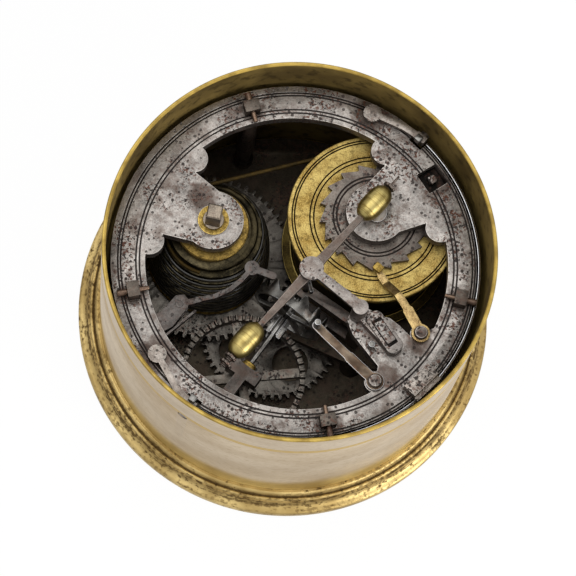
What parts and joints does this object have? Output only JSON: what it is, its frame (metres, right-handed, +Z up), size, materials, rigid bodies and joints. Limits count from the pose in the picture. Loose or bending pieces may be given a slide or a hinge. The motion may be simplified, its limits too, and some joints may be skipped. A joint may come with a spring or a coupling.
{
  "type": "drum_clock",
  "caption": "Drum-shaped table clock standing on its dial, open movement with fusee and barrel, contrate and crown wheels, verge and foliot with sliding weights, in a gilt case.",
  "frame": {"origin": "centre of the foot ring's underside, on the surface the clock stands on", "axes": "+Z up to the open end of the case, -Y to the viewer of the picture, +X to the viewer's right"},
  "size_m": [0.1228, 0.1228, 0.07],
  "materials": {
    "case_gilt": "worn mercury gilding, scratched",
    "dial_brass": "gilt, satin",
    "blued_steel": "heat blued",
    "plate_iron": "filed iron with dark pits",
    "pillar_iron": "filed iron",
    "arbor_steel": "bright worn steel",
    "mainspring_steel": "dark oiled steel",
    "wheel_iron": "filed iron, bright teeth",
    "gilt_brass": "mottled gilt brass with engraved circles",
    "foliot_iron": "forged iron",
    "gut": "twisted gut, waxed"
  },
  "bodies": {
    "frame": {"back_plate": "plate_iron", "balance_cock": "plate_iron", "case_drum": "case_gilt", "case_foot_ring": "case_gilt", "case_seat_ring": "case_gilt", "chapter_ring": "dial_brass", "click_rivet": "plate_iron", "cock_steady_pin": "plate_iron", "cock_wedge": "plate_iron", "dial_plate": "dial_brass", "frame_pillars": "pillar_iron", "front_plate": "plate_iron", "fusee_bush": "gilt_brass", "gut_line_run": "gut", "hour_stud": "pillar_iron", "inner_potence": "plate_iron", "latch_lug": "plate_iron", "latch_springs": "arbor_steel", "outer_potence": "plate_iron", "pillar_pins": "pillar_iron", "potence_plug": "gilt_brass", "regulator_rivet": "plate_iron", "second_wheel_cock": "plate_iron", "stop_block": "plate_iron", "stop_pin": "plate_iron", "stop_spring": "plate_iron", "touch_pins": "dial_brass"},
    "barrel": {"barrel_drum": "gilt_brass", "barrel_cap": "gilt_brass", "mainspring": "mainspring_steel", "gut_line_on_barrel": "gut"},
    "barrel_arbor_body": {"barrel_arbor": "arbor_steel", "setup_ratchet": "plate_iron"},
    "click": {"setup_click": "plate_iron"},
    "fusee": {"fusee_cone": "gilt_brass", "fusee_arbor": "arbor_steel", "winding_ratchet": "arbor_steel", "gut_line_on_fusee": "gut"},
    "great_wheel_body": {"great_wheel": "wheel_iron", "hour_pinion": "arbor_steel", "winding_click": "arbor_steel", "winding_click_spring": "arbor_steel"},
    "second_body": {"second_wheel": "wheel_iron", "second_pinion": "arbor_steel"},
    "contrate_body": {"contrate_wheel": "wheel_iron", "contrate_pinion": "arbor_steel"},
    "crown_body": {"crown_wheel": "wheel_iron", "crown_pinion": "arbor_steel"},
    "foliot": {"verge": "arbor_steel", "foliot_bar": "foliot_iron", "foliot_weights": "gilt_brass", "foliot_nuts": "foliot_iron"},
    "hour_body": {"hour_wheel": "wheel_iron", "hour_hand": "blued_steel"},
    "regulator": {"regulator_lever": "plate_iron", "regulator_pin": "arbor_steel"},
    "stop": {"stop_lever": "plate_iron"},
    "latch_right_body": {"latch_right": "plate_iron"},
    "latch_left_body": {"latch_left": "plate_iron"}
  },
  "joints": [
    {"name": "contrate_spin", "type": "hinge", "parent": "frame", "child": "contrate_body", "pos_m": [-0.00688, -0.03198, 0.03], "axis": [0, 0, 1], "continuous": true},
    {"name": "second_spin", "type": "hinge", "parent": "frame", "child": "second_body", "pos_m": [-0.00255, -0.0099, 0.018], "axis": [0, 0, 1], "continuous": true},
    {"name": "great_spin", "type": "hinge", "parent": "frame", "child": "great_wheel_body", "pos_m": [-0.0258, 0.0057, 0.019], "axis": [0, 0, 1], "continuous": true},
    {"name": "crown_spin", "type": "hinge", "parent": "frame", "child": "crown_body", "pos_m": [0.0043, -0.0036, 0.044], "axis": [-0.3665, -0.9304, 0], "continuous": true},
    {"name": "hour_spin", "type": "hinge", "parent": "frame", "child": "hour_body", "pos_m": [0, 0, 0.007], "axis": [0, 0, 1], "continuous": true},
    {"name": "barrel_turn", "type": "hinge", "parent": "frame", "child": "barrel", "pos_m": [0.0182, 0.02, 0.036], "axis": [0, 0, 1], "range_deg": [0, 2160]},
    {"name": "fusee_wind", "type": "hinge", "parent": "great_wheel_body", "child": "fusee", "pos_m": [-0.0258, 0.0057, 0.036], "axis": [0, 0, 1], "range_deg": [0, 3240]},
    {"name": "setup_turn", "type": "hinge", "parent": "frame", "child": "barrel_arbor_body", "pos_m": [0.0182, 0.02, 0.052], "axis": [0, 0, 1], "range_deg": [-18, 0]},
    {"name": "click_lift", "type": "hinge", "parent": "frame", "child": "click", "pos_m": [0.03839, -0.01159, 0.057], "axis": [0, 0, 1], "range_deg": [0, 8.1]},
    {"name": "foliot_swing", "type": "hinge", "parent": "frame", "child": "foliot", "pos_m": [0.0043, -0.0036, 0.063], "axis": [0, 0, 1], "range_deg": [-40, 40]},
    {"name": "regulator_shift", "type": "hinge", "parent": "frame", "child": "regulator", "pos_m": [0.02913, -0.02843, 0.057], "axis": [0, 0, 1], "range_deg": [-4, 6]},
    {"name": "stop_lift", "type": "hinge", "parent": "frame", "child": "stop", "pos_m": [-0.029, -0.0196, 0.052], "axis": [0, 0, 1], "range_deg": [0, 4]},
    {"name": "latch_right_slide", "type": "slide", "parent": "frame", "child": "latch_right_body", "axis": [-0.4924, -0.8704, 0], "range_m": [0, 0.0015]},
    {"name": "latch_left_slide", "type": "slide", "parent": "frame", "child": "latch_left_body", "axis": [0.3665, 0.9304, 0], "range_m": [0, 0.0015]}
  ],
  "couplings": [
    {"joint": "second_spin", "follows": "contrate_spin", "ratio": -0.11111},
    {"joint": "great_spin", "follows": "contrate_spin", "ratio": 0.014337},
    {"joint": "crown_spin", "follows": "contrate_spin", "ratio": -8.6667},
    {"joint": "hour_spin", "follows": "contrate_spin", "ratio": -0.0032258},
    {"joint": "fusee_wind", "follows": "barrel_turn", "ratio": 1.5},
    {"joint": "click_lift", "follows": "setup_turn", "ratio": -0.45}
  ]
}
